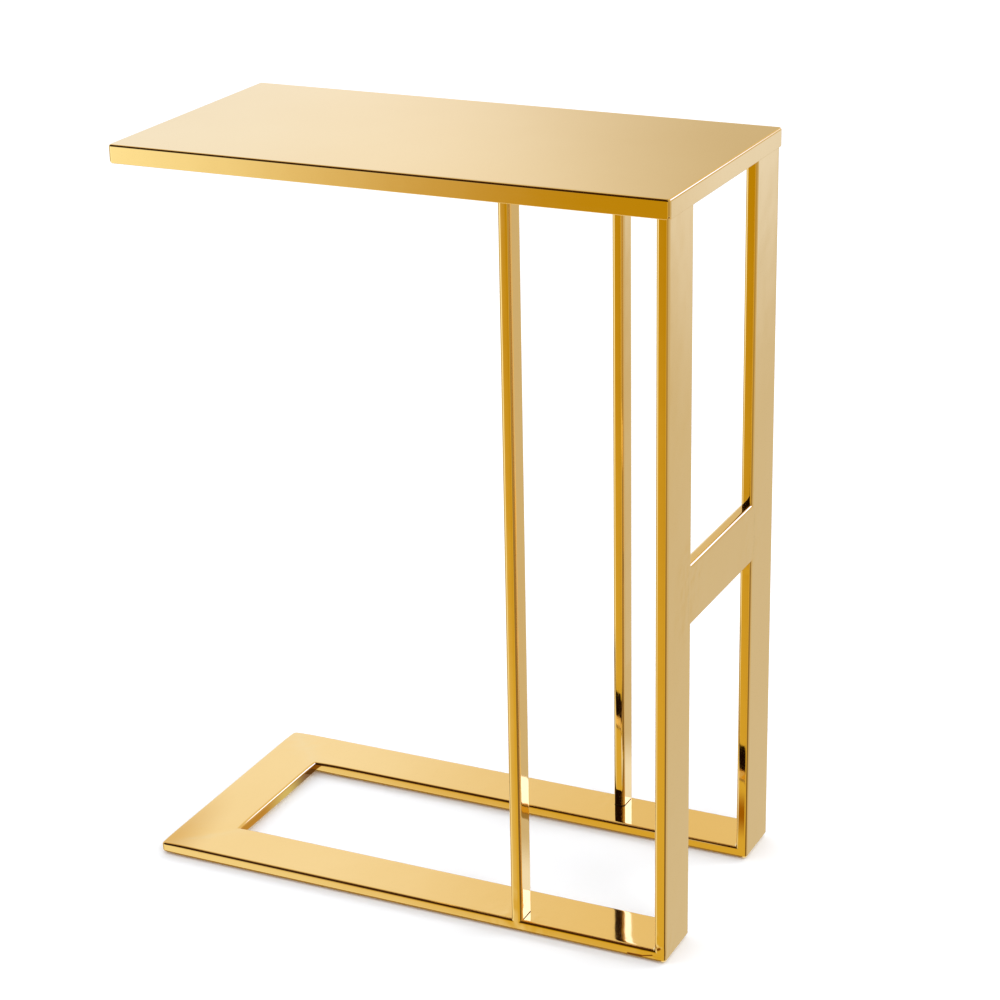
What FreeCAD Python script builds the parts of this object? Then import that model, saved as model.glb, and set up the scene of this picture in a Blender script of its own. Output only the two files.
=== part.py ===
import FreeCAD, Part
import os

# C-shaped side table in polished gold-coloured steel tube, in millimetres.
# X runs along the top towards the uprights, Y from front to back, and Z is up.
# The origin is on the floor, under the middle of the top.

# The whole table
table_height = 620.0
top_length = 467.0
top_depth = 237.0

# The top tray: one folded sheet with a skirt on all four sides
tray_sheet = 1.2
tray_skirt = 15.0
tray_inner_bend_radius = 0.8
tray_inner_corner_radius = 1.3
skirt_ease_radius = 2.5

# The welded frame of flat tube, and its clearance inside the skirt
frame_clearance = 0.3
tube_wall = 1.5
tube_radius = 1.5
tube_inner_radius = 0.4
tube_thickness = 10.0
wide_tube = 50.0
narrow_tube = 20.0
top_tube = 25.0
base_corner_radius = 2.5
foot_corner_radius = 1.0

# The clear gap along X between an outer upright and the inner one beside it
upright_gap = 114.3

# The middle height of the hand grip that joins the outer uprights
handle_centre_height = 297.5

# The liner board bonded under the sheet
liner_thickness = 3.0
liner_clearance = 0.2
boss_clearance = 0.5

# The screws that hold the tray down, each up through a top rail into a boss on the sheet
screws_per_side = 4
screw_end_distance = 35.0
screw_radius = 2.0
screw_head_radius = 3.5
screw_head_height = 2.2
screw_head_edge_radius = 1.0
screw_tip_gap = 0.3
screw_socket_radius = 1.25
screw_socket_depth = 1.3
thread_clearance = 0.05
screw_hole_clearance = 0.25
screw_access_clearance = 1.5
washer_radius = 4.0
washer_thickness = 0.8
washer_clearance = 0.15
boss_radius = 4.0

# The push-in glides under the base
glide_radius = 9.0
glide_thickness = 1.5
glide_edge_radius = 0.5
glide_stem_radius = 3.0
glide_stem_length = 5.0
glide_hole_clearance = 0.05
glide_end_distance = 50.0

# Cuts run past the faces that they go through by this much
overrun = 2.0

# Radii that follow from the sizes above
tray_bend_radius = tray_inner_bend_radius + tray_sheet
tray_corner_radius = tray_inner_corner_radius + tray_sheet

# Heights that follow from the sizes above
base_bottom = glide_thickness
base_top = base_bottom + tube_thickness
tray_bottom = table_height - tray_skirt
sheet_underside = table_height - tray_sheet
liner_underside = sheet_underside - liner_thickness
top_frame_top = liner_underside
top_frame_bottom = top_frame_top - tube_thickness
screw_seat = top_frame_top - tube_wall - washer_thickness

# Half sizes and outer faces that follow from the sizes above
half_length = top_length / 2
half_depth = top_depth / 2
frame_x = half_length - tray_sheet - frame_clearance
frame_y = half_depth - tray_sheet - frame_clearance
outer_upright_inside = frame_x - tube_thickness
inner_upright_right = outer_upright_inside - upright_gap
inner_upright_left = inner_upright_right - tube_thickness
rail_inside_y = frame_y - wide_tube
left_rail_inside = wide_tube - frame_x
handle_bottom = handle_centre_height - wide_tube / 2
handle_top = handle_centre_height + wide_tube / 2
middle_rail_centre = (inner_upright_left + inner_upright_right) / 2

# An edge counts as running along an axis when this share of its length lies along it
parallel_share = 0.99


def point(axis, along, u, v):
    """Places section coordinates u and v across a piece that runs along an axis."""
    if axis == "x":
        return FreeCAD.Vector(along, u, v)
    if axis == "y":
        return FreeCAD.Vector(u, along, v)
    return FreeCAD.Vector(u, v, along)


def box(x_range, y_range, z_range):
    """A plain block between the three pairs of faces."""
    size = [high - low for low, high in (x_range, y_range, z_range)]
    return Part.makeBox(*size, FreeCAD.Vector(x_range[0], y_range[0], z_range[0]))


def edges_along(shape, axis):
    """The straight edges of a shape that run along an axis."""
    direction = point(axis, 1, 0, 0)
    chosen = []
    for edge in shape.Edges:
        run = edge.Vertexes[-1].Point - edge.Vertexes[0].Point
        if abs(run.dot(direction)) > parallel_share * edge.Length:
            chosen.append(edge)
    return chosen


def rounded_bar(axis, ends, u_range, v_range, radius):
    """A solid bar that runs along an axis between two ends, with its long edges rounded."""
    low = point(axis, ends[0], u_range[0], v_range[0])
    high = point(axis, ends[1], u_range[1], v_range[1])
    bar = box((low.x, high.x), (low.y, high.y), (low.z, high.z))
    return bar.makeFillet(radius, edges_along(bar, axis))


def standing_slab(x_reach, y_reach, heights, radius):
    """A block centred on the origin's upright line, with its four upright edges rounded."""
    return rounded_bar("z", heights, (-x_reach, x_reach), (-y_reach, y_reach), radius)


def flat_tube(axis, ends, u_range, v_range):
    """A rectangular tube that runs along an axis between two ends."""
    outside = rounded_bar(axis, ends, u_range, v_range, tube_radius)
    u_bore, v_bore = [(low + tube_wall, high - tube_wall) for low, high in (u_range, v_range)]
    return outside.cut(rounded_bar(axis, ends, u_bore, v_bore, tube_inner_radius))


def prism(axis, ends, outline):
    """A block with the given outline across the axis, between two ends."""
    start, stop = ends
    corners = [point(axis, start, u, v) for u, v in outline]
    face = Part.Face(Part.makePolygon(corners + corners[:1]))
    return face.extrude(point(axis, stop - start, 0, 0))


def standing_rod(x, y, low, high, radius):
    """A round rod or hole that stands at x and y."""
    return Part.makeCylinder(radius, high - low, FreeCAD.Vector(x, y, low))


def mirrored(shape):
    """The same piece on the back of the table."""
    return shape.mirror(FreeCAD.Vector(0, 0, 0), FreeCAD.Vector(0, 1, 0))


def screw_places():
    """Where the tray's screws stand, along both long top rails."""
    reach = frame_x - screw_end_distance
    pitch = 2 * reach / (screws_per_side - 1)
    rail_centre = frame_y - top_tube / 2
    return [(i * pitch - reach, side * rail_centre) for side in (-1, 1) for i in range(screws_per_side)]


def glide_places():
    """Where the glides sit, near both ends of each long base rail."""
    reach = frame_x - glide_end_distance
    rail_centre = frame_y - wide_tube / 2
    places = {}
    for x_side, end in ((-1, "left"), (1, "right")):
        for y_side, flank in ((-1, "front"), (1, "back")):
            places[f"glide_{end}_{flank}"] = (x_side * reach, y_side * rail_centre)
    return places


# The folded tray


def skirt_corner_cut(x_side, y_side):
    """What is ground off one lower corner of the skirt, where both of its faces round up."""
    radius = skirt_ease_radius
    x_centre = x_side * (half_length - radius)
    y_centre = y_side * (half_depth - radius)
    z_centre = tray_bottom + radius
    x_range = sorted((x_centre, x_side * (half_length + overrun)))
    y_range = sorted((y_centre, y_side * (half_depth + overrun)))
    block = box(x_range, y_range, (tray_bottom - overrun, z_centre))
    reach = radius + overrun
    for axis, low_end in (("x", (x_range[0], y_centre)), ("y", (x_centre, y_range[0]))):
        start = FreeCAD.Vector(*low_end, z_centre)
        block = block.cut(Part.makeCylinder(radius, reach, start, point(axis, 1, 0, 0)))
    return block


def make_tray():
    """The sheet, with round corners and bends, and with its skirt's lower corners eased."""
    shell = standing_slab(half_length, half_depth, (tray_bottom, table_height), tray_corner_radius)
    rim = [edge for edge in shell.Edges if edge.BoundBox.ZMin > sheet_underside]
    shell = shell.makeFillet(tray_bend_radius, rim)
    inside_x = half_length - tray_sheet
    inside_y = half_depth - tray_sheet
    depths = (tray_bottom - overrun, sheet_underside)
    hollow = standing_slab(inside_x, inside_y, depths, tray_inner_corner_radius)
    roof = [edge for edge in hollow.Edges if edge.BoundBox.ZMin > tray_bottom]
    shell = shell.cut(hollow.makeFillet(tray_inner_bend_radius, roof))
    for x_side in (-1, 1):
        for y_side in (-1, 1):
            shell = shell.cut(skirt_corner_cut(x_side, y_side))
    return shell


def make_liner():
    """The board under the sheet, kept clear of the bends and of the bosses."""
    margin = tray_sheet + tray_inner_bend_radius + liner_clearance
    reach_x = half_length - margin
    reach_y = half_depth - margin
    heights = (liner_underside, sheet_underside)
    board = standing_slab(reach_x, reach_y, heights, tray_inner_corner_radius)
    for x, y in screw_places():
        low, high = liner_underside - overrun, sheet_underside + overrun
        board = board.cut(standing_rod(x, y, low, high, boss_radius + boss_clearance))
    return board


def make_bosses():
    """Threaded bosses welded to the underside of the sheet."""
    bosses = []
    for x, y in screw_places():
        boss = standing_rod(x, y, liner_underside, sheet_underside, boss_radius)
        low = liner_underside - overrun
        bore = standing_rod(x, y, low, sheet_underside, screw_radius + thread_clearance)
        bosses.append(boss.cut(bore))
    return Part.makeCompound(bosses)


def make_washers():
    """Plain washers inside the top rails, under the screw heads."""
    low, high = screw_seat, screw_seat + washer_thickness
    washers = []
    for x, y in screw_places():
        disc = standing_rod(x, y, low, high, washer_radius)
        hole = standing_rod(x, y, low - overrun, high + overrun, screw_radius + washer_clearance)
        washers.append(disc.cut(hole))
    return Part.makeCompound(washers)


def make_screws():
    """Button-head screws that bear on the top rails from inside."""
    head_bottom = screw_seat - screw_head_height
    socket_top = head_bottom + screw_socket_depth
    screws = []
    for x, y in screw_places():
        shank = standing_rod(x, y, screw_seat, sheet_underside - screw_tip_gap, screw_radius)
        head = standing_rod(x, y, head_bottom, screw_seat, screw_head_radius)
        rim = [edge for edge in head.Edges if edge.BoundBox.ZMax < screw_seat]
        head = head.makeFillet(screw_head_edge_radius, rim)
        socket = standing_rod(x, y, head_bottom - overrun, socket_top, screw_socket_radius)
        screws.append(shank.fuse(head).cut(socket).removeSplitter())
    return Part.makeCompound(screws)


# The top frame, inside the tray


def top_frame_envelope():
    """The outside of the top frame, with its upright corners rounded."""
    return standing_slab(frame_x, frame_y, (top_frame_bottom, top_frame_top), tray_inner_corner_radius)


def drilled_for_screws(rail):
    """Holes for the screws: a small one in the upper wall and a wide one to reach it from below."""
    split = (top_frame_bottom + top_frame_top) / 2
    hole_radius = screw_radius + screw_hole_clearance
    access_radius = max(screw_head_radius, washer_radius) + screw_access_clearance
    for x, y in screw_places():
        rail = rail.cut(standing_rod(x, y, split, top_frame_top + overrun, hole_radius))
        rail = rail.cut(standing_rod(x, y, top_frame_bottom - overrun, split, access_radius))
    return rail


def make_top_rail_front():
    """A long rail, mitred at both ends."""
    heights = (top_frame_bottom, top_frame_top)
    inner_x, inner_y = frame_x - top_tube, -frame_y + top_tube
    tube = flat_tube("x", (-frame_x, frame_x), (-frame_y, inner_y), heights)
    outline = [(-frame_x, -frame_y), (frame_x, -frame_y), (inner_x, inner_y), (-inner_x, inner_y)]
    mitred = tube.common(prism("z", heights, outline))
    return drilled_for_screws(mitred.common(top_frame_envelope()))


def make_top_rail_end(side):
    """The short mitred rail at the left (-1) or right (1) end of the top frame."""
    heights = (top_frame_bottom, top_frame_top)
    outer, inner = side * frame_x, side * (frame_x - top_tube)
    across = (min(outer, inner), max(outer, inner))
    tube = flat_tube("y", (-frame_y, frame_y), across, heights)
    inside = frame_y - top_tube
    outline = [(outer, -frame_y), (outer, frame_y), (inner, inside), (inner, -inside)]
    return tube.common(prism("z", heights, outline)).common(top_frame_envelope())


def make_top_rail_middle():
    """The cross rail that stands over the inner uprights."""
    inside = frame_y - top_tube
    across = (middle_rail_centre - top_tube / 2, middle_rail_centre + top_tube / 2)
    return flat_tube("y", (-inside, inside), across, (top_frame_bottom, top_frame_top))


# The visible frame


def frame_envelope():
    """The outside of the base and outer uprights: left corners and right foot edge rounded."""
    block = box((-frame_x, frame_x), (-frame_y, frame_y), (base_bottom, top_frame_bottom))
    left_corners = [edge for edge in edges_along(block, "z") if edge.CenterOfMass.x < 0]
    block = block.makeFillet(base_corner_radius, left_corners)
    foot = [
        edge
        for edge in edges_along(block, "y")
        if edge.CenterOfMass.x > 0 and edge.CenterOfMass.z < base_top
    ]
    return block.makeFillet(foot_corner_radius, foot)


def drilled_for_glides(rail):
    """Holes in the lower wall for the stems of the glides."""
    for x, y in glide_places().values():
        low, high = base_bottom - overrun, (base_bottom + base_top) / 2
        rail = rail.cut(standing_rod(x, y, low, high, glide_stem_radius + glide_hole_clearance))
    return rail


def make_base_rail_front():
    """A long rail, mitred flat into the left rail and on edge into the outer upright."""
    heights = (base_bottom, base_top)
    across = (-frame_y, -rail_inside_y)
    tube = flat_tube("x", (-frame_x, frame_x), across, heights)
    plan = [
        (-frame_x, -frame_y),
        (frame_x, -frame_y),
        (frame_x, -rail_inside_y),
        (left_rail_inside, -rail_inside_y),
    ]
    side = [
        (-frame_x, base_bottom),
        (frame_x, base_bottom),
        (outer_upright_inside, base_top),
        (-frame_x, base_top),
    ]
    rail = tube.common(prism("z", heights, plan)).common(prism("y", across, side))
    return drilled_for_glides(rail.common(frame_envelope()))


def make_base_rail_left():
    """The cross rail at the base's left end, mitred at both ends."""
    heights = (base_bottom, base_top)
    tube = flat_tube("y", (-frame_y, frame_y), (-frame_x, left_rail_inside), heights)
    plan = [
        (-frame_x, -frame_y),
        (-frame_x, frame_y),
        (left_rail_inside, rail_inside_y),
        (left_rail_inside, -rail_inside_y),
    ]
    return drilled_for_glides(tube.common(prism("z", heights, plan)).common(frame_envelope()))


def make_outer_upright_front():
    """A wide upright, mitred on edge into the base rail."""
    across = (-frame_y, -rail_inside_y)
    tube = flat_tube("z", (base_bottom, top_frame_bottom), (outer_upright_inside, frame_x), across)
    side = [
        (frame_x, base_bottom),
        (frame_x, top_frame_bottom),
        (outer_upright_inside, top_frame_bottom),
        (outer_upright_inside, base_top),
    ]
    return tube.common(prism("y", across, side)).common(frame_envelope())


def make_inner_upright_front():
    """A narrow upright that stands on the base rail, flush with its outer face."""
    across = (-frame_y, -frame_y + narrow_tube)
    return flat_tube("z", (base_top, top_frame_bottom), (inner_upright_left, inner_upright_right), across)


def make_handle():
    """The hand grip, butted between the outer uprights and flush with both of their faces."""
    ends = (-rail_inside_y, rail_inside_y)
    return flat_tube("y", ends, (outer_upright_inside, frame_x), (handle_bottom, handle_top))


def weld_strip(axis, ends, corner, u_in, v_in):
    """Weld metal, ground flush, that fills the round edge of a tube beside a butt joint."""
    u, v = corner
    centre_u, centre_v = u + u_in * tube_radius, v + v_in * tube_radius
    outline = [(u, v), (centre_u, v), (centre_u, centre_v), (u, centre_v)]
    block = prism(axis, ends, outline)
    start = point(axis, ends[0] - overrun, centre_u, centre_v)
    length = ends[1] - ends[0] + 2 * overrun
    return block.cut(Part.makeCylinder(tube_radius, length, start, point(axis, 1, 0, 0)))


def make_ground_welds():
    """The flush welds: at the inner uprights' feet and down both faces of the handle's ends."""
    foot_ends = (inner_upright_left + tube_radius, inner_upright_right - tube_radius)
    handle_ends = (handle_bottom + tube_radius, handle_top - tube_radius)
    strips = []
    for side in (-1, 1):
        strips.append(weld_strip("x", foot_ends, (side * frame_y, base_top), -side, -1))
        for face_x, into in ((frame_x, -1), (outer_upright_inside, 1)):
            strips.append(weld_strip("z", handle_ends, (face_x, side * rail_inside_y), into, side))
    return Part.makeCompound(strips)


# The glides


def make_glide(x, y):
    """A flat nylon disc with a stem that pushes into the rail above it."""
    disc = standing_rod(x, y, 0, glide_thickness, glide_radius)
    lower_rim = [edge for edge in disc.Edges if edge.BoundBox.ZMax < glide_thickness]
    disc = disc.makeFillet(glide_edge_radius, lower_rim)
    stem = standing_rod(x, y, glide_thickness, glide_thickness + glide_stem_length, glide_stem_radius)
    return disc.fuse(stem).removeSplitter()


def make_parts():
    """Every piece of the table, by name."""
    base_rail_front = make_base_rail_front()
    outer_upright_front = make_outer_upright_front()
    inner_upright_front = make_inner_upright_front()
    top_rail_front = make_top_rail_front()
    parts = {
        "top_tray": make_tray(),
        "liner_board": make_liner(),
        "tray_bosses": make_bosses(),
        "tray_screws": make_screws(),
        "tray_washers": make_washers(),
        "top_rail_front": top_rail_front,
        "top_rail_back": mirrored(top_rail_front),
        "top_rail_left": make_top_rail_end(-1),
        "top_rail_right": make_top_rail_end(1),
        "top_rail_middle": make_top_rail_middle(),
        "upright_outer_front": outer_upright_front,
        "upright_outer_back": mirrored(outer_upright_front),
        "upright_inner_front": inner_upright_front,
        "upright_inner_back": mirrored(inner_upright_front),
        "handle_bar": make_handle(),
        "base_rail_front": base_rail_front,
        "base_rail_back": mirrored(base_rail_front),
        "base_rail_left": make_base_rail_left(),
        "ground_welds": make_ground_welds(),
    }
    for name, (x, y) in glide_places().items():
        parts[name] = make_glide(x, y)
    return parts


def main():
    os.makedirs("parts", exist_ok=True)
    for name, shape in make_parts().items():
        print(f"{name}: {len(shape.Solids)} solids, {shape.Volume:.1f} mm3, valid {shape.isValid()}")
        shape.exportStep(f"parts/{name}.step")


main()
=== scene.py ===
import bpy
import bmesh
import math
from mathutils import Matrix, Vector


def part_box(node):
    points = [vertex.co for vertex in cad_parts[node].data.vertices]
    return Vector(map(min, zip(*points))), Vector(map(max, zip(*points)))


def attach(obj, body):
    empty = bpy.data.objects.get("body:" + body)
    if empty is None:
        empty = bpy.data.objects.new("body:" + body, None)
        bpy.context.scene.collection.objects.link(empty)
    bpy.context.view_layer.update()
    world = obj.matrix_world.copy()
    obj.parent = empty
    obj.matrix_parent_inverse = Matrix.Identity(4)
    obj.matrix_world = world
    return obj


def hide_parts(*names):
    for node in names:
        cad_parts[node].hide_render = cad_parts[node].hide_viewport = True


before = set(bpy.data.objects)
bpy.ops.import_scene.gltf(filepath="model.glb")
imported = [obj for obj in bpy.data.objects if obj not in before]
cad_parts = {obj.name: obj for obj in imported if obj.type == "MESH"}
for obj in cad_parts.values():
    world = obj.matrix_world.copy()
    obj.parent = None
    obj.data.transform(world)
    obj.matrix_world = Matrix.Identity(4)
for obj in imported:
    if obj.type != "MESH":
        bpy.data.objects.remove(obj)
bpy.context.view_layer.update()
print("frame loaded:", len(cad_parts), "nodes")

mm = 0.001
axes = {"x": Vector((1, 0, 0)), "y": Vector((0, 1, 0)), "z": Vector((0, 0, 1))}


def linked(name, data):
    thing = bpy.data.objects.new(name, data)
    bpy.context.scene.collection.objects.link(thing)
    return thing


def aimed(azimuth, elevation):
    # a direction from the object; azimuth runs from the front (0) round by the left (90), in degrees
    turn, tilt = math.radians(azimuth), math.radians(elevation)
    return Vector((-math.sin(turn) * math.cos(tilt), -math.cos(turn) * math.cos(tilt), math.sin(tilt)))


# Camera

cameraView = {
    "azimuth": -25.474,
    "elevation": 21.164,
    "roll": -1.143,
    "distance": 2.0904,
    "target": (0.0679, -0.0583, 0.3479),
    "lens": 96.1,
}


def makeCamera(view):
    back, roll = aimed(view["azimuth"], view["elevation"]), math.radians(view["roll"])
    right = (-back).cross(axes["z"]).normalized()
    up = back.cross(right)
    rolledRight = right * math.cos(roll) + up * math.sin(roll)
    rolledUp = up * math.cos(roll) - right * math.sin(roll)
    camera = linked("camera", bpy.data.cameras.new("camera"))
    camera.data.lens = view["lens"]
    turned = Matrix((rolledRight, rolledUp, back)).transposed().to_4x4()
    camera.matrix_world = Matrix.Translation(Vector(view["target"]) + back * view["distance"]) @ turned
    bpy.context.scene.camera = camera


makeCamera(cameraView)
print("camera placed")


# Node helpers, for shader and geometry trees alike; most find their tree from an output that they are given

def feed(node, inputs):
    # links other nodes' outputs, and sets plain values on the sockets themselves
    for socket, value in inputs.items():
        if isinstance(value, bpy.types.NodeSocket):
            node.id_data.links.new(value, node.inputs[socket])
        else:
            node.inputs[socket].default_value = value


def addNode(tree, kind, inputs=None, options=None):
    node = tree.nodes.new(kind)
    for name, value in (options or {}).items():
        setattr(node, name, value)
    feed(node, inputs or {})
    return node


def output(tree, kind, inputs=None, options=None):
    return addNode(tree, kind, inputs, options).outputs[0]


def treeOf(*values):
    return next(value.id_data for value in values if isinstance(value, bpy.types.NodeSocket))


def calc(operation, *values):
    return output(treeOf(*values), "ShaderNodeMath", dict(enumerate(values)), {"operation": operation})


def plus(first, second):
    return calc("ADD", first, second)


def minus(first, second):
    return calc("SUBTRACT", first, second)


def times(first, second):
    return calc("MULTIPLY", first, second)


def vectorCalc(operation, *values):
    inputs = dict(enumerate(values))
    node = addNode(treeOf(*values), "ShaderNodeVectorMath", inputs, {"operation": operation})
    return node.outputs["Value" if operation in ("DOT_PRODUCT", "LENGTH", "DISTANCE") else "Vector"]


def scaled(value, by):
    inputs = {0: value, "Scale": by}
    return output(treeOf(value, by), "ShaderNodeVectorMath", inputs, {"operation": "SCALE"})


def vector(x=0.0, y=0.0, z=0.0):
    return output(treeOf(x, y, z), "ShaderNodeCombineXYZ", {0: x, 1: y, 2: z})


def parts(value):
    return addNode(value.id_data, "ShaderNodeSeparateXYZ", {0: value}).outputs


def mapped(value, fromLow, fromHigh, toLow=0.0, toHigh=1.0, ease="LINEAR"):
    limits = {0: value, 1: fromLow, 2: fromHigh, 3: toLow, 4: toHigh}
    return output(value.id_data, "ShaderNodeMapRange", limits, {"interpolation_type": ease})


def eased(value, fromLow, fromHigh, toLow=0.0, toHigh=1.0):
    return mapped(value, fromLow, fromHigh, toLow, toHigh, "SMOOTHSTEP")


def rgba(colour):
    return (*colour, 1.0)


def mixed(share, first, second):
    # each colour is a plain one or another node's output
    first, second = [rgba(colour) if isinstance(colour, tuple) else colour for colour in (first, second)]
    colours = {0: share, 6: first, 7: second}
    return addNode(share.id_data, "ShaderNodeMix", colours, {"data_type": "RGBA"}).outputs[2]


def noise(place, scale, detail=2.0, roughness=0.5):
    inputs = {"Vector": place, "Scale": scale, "Detail": detail, "Roughness": roughness}
    return output(place.id_data, "ShaderNodeTexNoise", inputs)


def bump(height, distance, under=None):
    inputs = {"Height": height, "Distance": distance, "Strength": 1.0}
    if under:
        inputs["Normal"] = under
    return output(height.id_data, "ShaderNodeBump", inputs)


def stretched(place, scale):
    return output(place.id_data, "ShaderNodeMapping", {"Vector": place, "Scale": scale})


def objectPlace(tree):
    return addNode(tree, "ShaderNodeTexCoord").outputs["Object"]


def newFinish(name, metallic=0.0):
    material = bpy.data.materials.new(name)
    material.use_nodes = True
    shader = material.node_tree.nodes["Principled BSDF"]
    shader.inputs["Metallic"].default_value = metallic
    return material, shader


# Studio: the room that the gold mirrors

studio = {
    "dome": 1.2,
    "lowWall": (0.657, 0.571, 0.435),
    "highWall": (0.833, 0.696, 0.432),
    "horizonBlend": (-4.0, 8.0),
    "boxes": [  # name, azimuth, elevation, half angle of the even part, half angle where it ends, colour
        ("whiteFloor", 0, -90, 28, 55, (0.95, 0.88, 0.70)),
        ("darkRight", -50, -18, 28, 42, (0.08, 0.026, 0.002)),
        ("amberFront", 2, -25, 28, 38, (0.72, 0.505, 0.082)),
        ("deepAmber", 10, 5, 20, 35, (0.522, 0.305, 0.002)),
        ("leftWall", 93, -26, 52, 62, (0.964, 0.915, 0.73)),
        ("shadedLeft", 104, -22, 28, 46, (0.58, 0.47, 0.24)),
        ("paleLowLeft", 140, -24, 14, 28, (1.0, 0.95, 0.84)),
        ("paleLeft", 48, -3, 3, 27, (1.22, 1.28, 1.18)),
        ("shadedWall", 64, 32, 22, 36, (0.02, 0.01, 0.004)),
        ("darkCeiling", 8, 50, 40, 56, (0.009, 0.004, 0.002)),
        ("brownCeiling", 10, 66, 18, 40, (0.08, 0.027, 0.004)),
        ("upperFrontRight", -61, 24, 30, 62, (0.6, 0.44, 0.18)),
        ("darkUpperRight", -17, 22, 21, 29, (0.02, 0.008, 0.003)),
        ("greyHorizon", 166, 5, 15, 27, (0.652, 0.562, 0.403)),
        ("keyWindow", 127, 17, 23, 33, (0.988, 0.957, 0.942)),
        ("paleWindow", 130, 7, 10, 28, (0.944, 0.993, 1.13)),
        ("upperRight", 168, 34, 2, 17, (0.849, 0.709, 0.45)),
        ("brightSkirt", -169, -12, 9, 13, (0.865, 0.894, 1.057)),
        ("softRight", -179, -26, 18, 22, (0.682, 0.631, 0.558)),
        ("backWindow", -154, 22, 8, 12, (1.7, 2.2, 5.4)),
    ],
}


def makeStudio(room):
    world = bpy.data.worlds.new("studio")
    world.use_nodes = True
    tree = world.node_tree
    tree.nodes.clear()
    direction = addNode(tree, "ShaderNodeTexCoord").outputs["Generated"]
    low, high = [math.sin(math.radians(angle)) for angle in room["horizonBlend"]]
    painted = mixed(eased(parts(direction)[2], low, high), room["lowWall"], room["highWall"])
    for name, azimuth, elevation, full, gone, colour in room["boxes"]:
        facing = vectorCalc("DOT_PRODUCT", direction, aimed(azimuth, elevation))
        outer, inner = math.cos(math.radians(gone)), math.cos(math.radians(full))
        painted = mixed(eased(facing, outer, inner), painted, colour)
        painted.node.label = name
    mirrored = output(tree, "ShaderNodeBackground", {"Color": painted})
    white = {"Color": rgba((1.0, 1.0, 1.0)), "Strength": room["dome"]}
    plain = output(tree, "ShaderNodeBackground", white)
    glossy = addNode(tree, "ShaderNodeLightPath").outputs["Is Glossy Ray"]
    shown = output(tree, "ShaderNodeMixShader", {0: glossy, 1: plain, 2: mirrored})
    addNode(tree, "ShaderNodeOutputWorld", {0: shown})
    bpy.context.scene.world = world
    bpy.context.scene.view_settings.view_transform = "Standard"


def stageSheet(name, outline, level, material, unseenBy):
    # a flat polygon of the studio, hidden from some kinds of ray
    mesh = bpy.data.meshes.new(name)
    mesh.from_pydata([(x, y, level) for x, y in outline], [], [tuple(range(len(outline)))])
    mesh.materials.append(material)
    sheet = linked(name, mesh)
    for ray in unseenBy:
        setattr(sheet, "visible_" + ray, False)


paper = {"reach": 12.0, "colour": (0.915, 0.935, 0.968)}


def makePaper(settings):
    # the gold mirrors the room, not the paper
    reach = settings["reach"]
    outline = [(-reach, -reach), (reach, -reach), (reach, reach), (-reach, reach)]
    material, shader = newFinish("paperFloor")
    feed(shader, {"Base Color": rgba(settings["colour"]), "Roughness": 1.0, "Specular IOR Level": 0.0})
    stageSheet("floor", outline, 0.0, material, ["glossy"])


# cards on the floor, seen only in the gold: pale ones light the feet of the inner uprights, and the amber one
# tints the foot of the back outer upright; outlines in metres, fade gives the middle along y and how far from
# it the card is even and has dimmed
cards = [
    {"outline": ((0.110, -0.062), (0.158, -0.062), (0.205, 0.038), (0.110, 0.038)),
     "fade": (-0.062, 0.032, 0.102)},
    {"outline": ((0.110, 0.118), (0.126, 0.118), (0.228, 0.335), (0.228, 0.52), (0.110, 0.52)),
     "fade": (0.118, 0.062, 0.142)},
    {"outline": ((0.172, -0.066), (0.190, -0.066), (0.229, 0.058), (0.211, 0.058)),
     "fade": (-0.010, 0.004, 0.048), "colour": (0.36, 0.145, 0.002), "dim": (0.72, 0.505, 0.082)},
]
cardSettings = {"level": 0.25 * mm, "colour": (0.93, 0.94, 1.02), "dim": (0.66, 0.58, 0.45)}

# even strips that stand for the shadow close before the base rails
shadeSettings = {"level": 0.1 * mm, "margin": 4.5 * mm, "colour": (0.34, 0.22, 0.07), "fade": (0.0, 1.0, 2.0)}


def makeCard(name, card):
    material = bpy.data.materials.new(name)
    material.use_nodes = True
    tree = material.node_tree
    tree.nodes.clear()
    middle, even, gone = card["fade"]
    away = calc("ABSOLUTE", minus(parts(objectPlace(tree))[1], middle))
    colour = mixed(eased(away, even, gone), card["colour"], card.get("dim", card["colour"]))
    glow = output(tree, "ShaderNodeEmission", {"Color": colour, "Strength": 1.0})
    addNode(tree, "ShaderNodeOutputMaterial", {0: glow})
    stageSheet(name, card["outline"], card["level"], material, ["camera", "diffuse", "shadow"])


def makeCards():
    for number, card in enumerate(cards):
        makeCard(f"floorCard{number}", {**cardSettings, **card})
    margin = shadeSettings["margin"]
    for side, node in enumerate(("base_rail_front", "base_rail_back", "base_rail_left")):
        low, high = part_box(node)
        left, front, right, back = low.x, low.y - margin, high.x - margin, high.y
        outline = ((left, front), (right, front), (right, back), (left, back))
        makeCard(f"floorShade{side}", {**shadeSettings, "outline": outline})


lamps = [
    {"name": "lampFrontRight", "azimuth": -52, "elevation": 38, "power": 9.0},
    {"name": "lampBackRight", "azimuth": -128, "elevation": 42, "power": 7.0},
]
lampSettings = {"distance": 2.6, "size": 0.9}


def makeLamp(lamp):
    aim = aimed(lamp["azimuth"], lamp["elevation"])
    light = linked(lamp["name"], bpy.data.lights.new(lamp["name"], "AREA"))
    light.data.shape = "DISK"
    light.data.size = lampSettings["size"]
    light.data.energy = lamp["power"]
    light.location = aim * lampSettings["distance"]
    light.rotation_euler = aim.to_track_quat("Z", "Y").to_euler()
    light.visible_glossy = False


makeStudio(studio)
makePaper(paper)
makeCards()
for lamp in lamps:
    makeLamp(lamp)
print("studio lit")


# Gold plating

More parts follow.
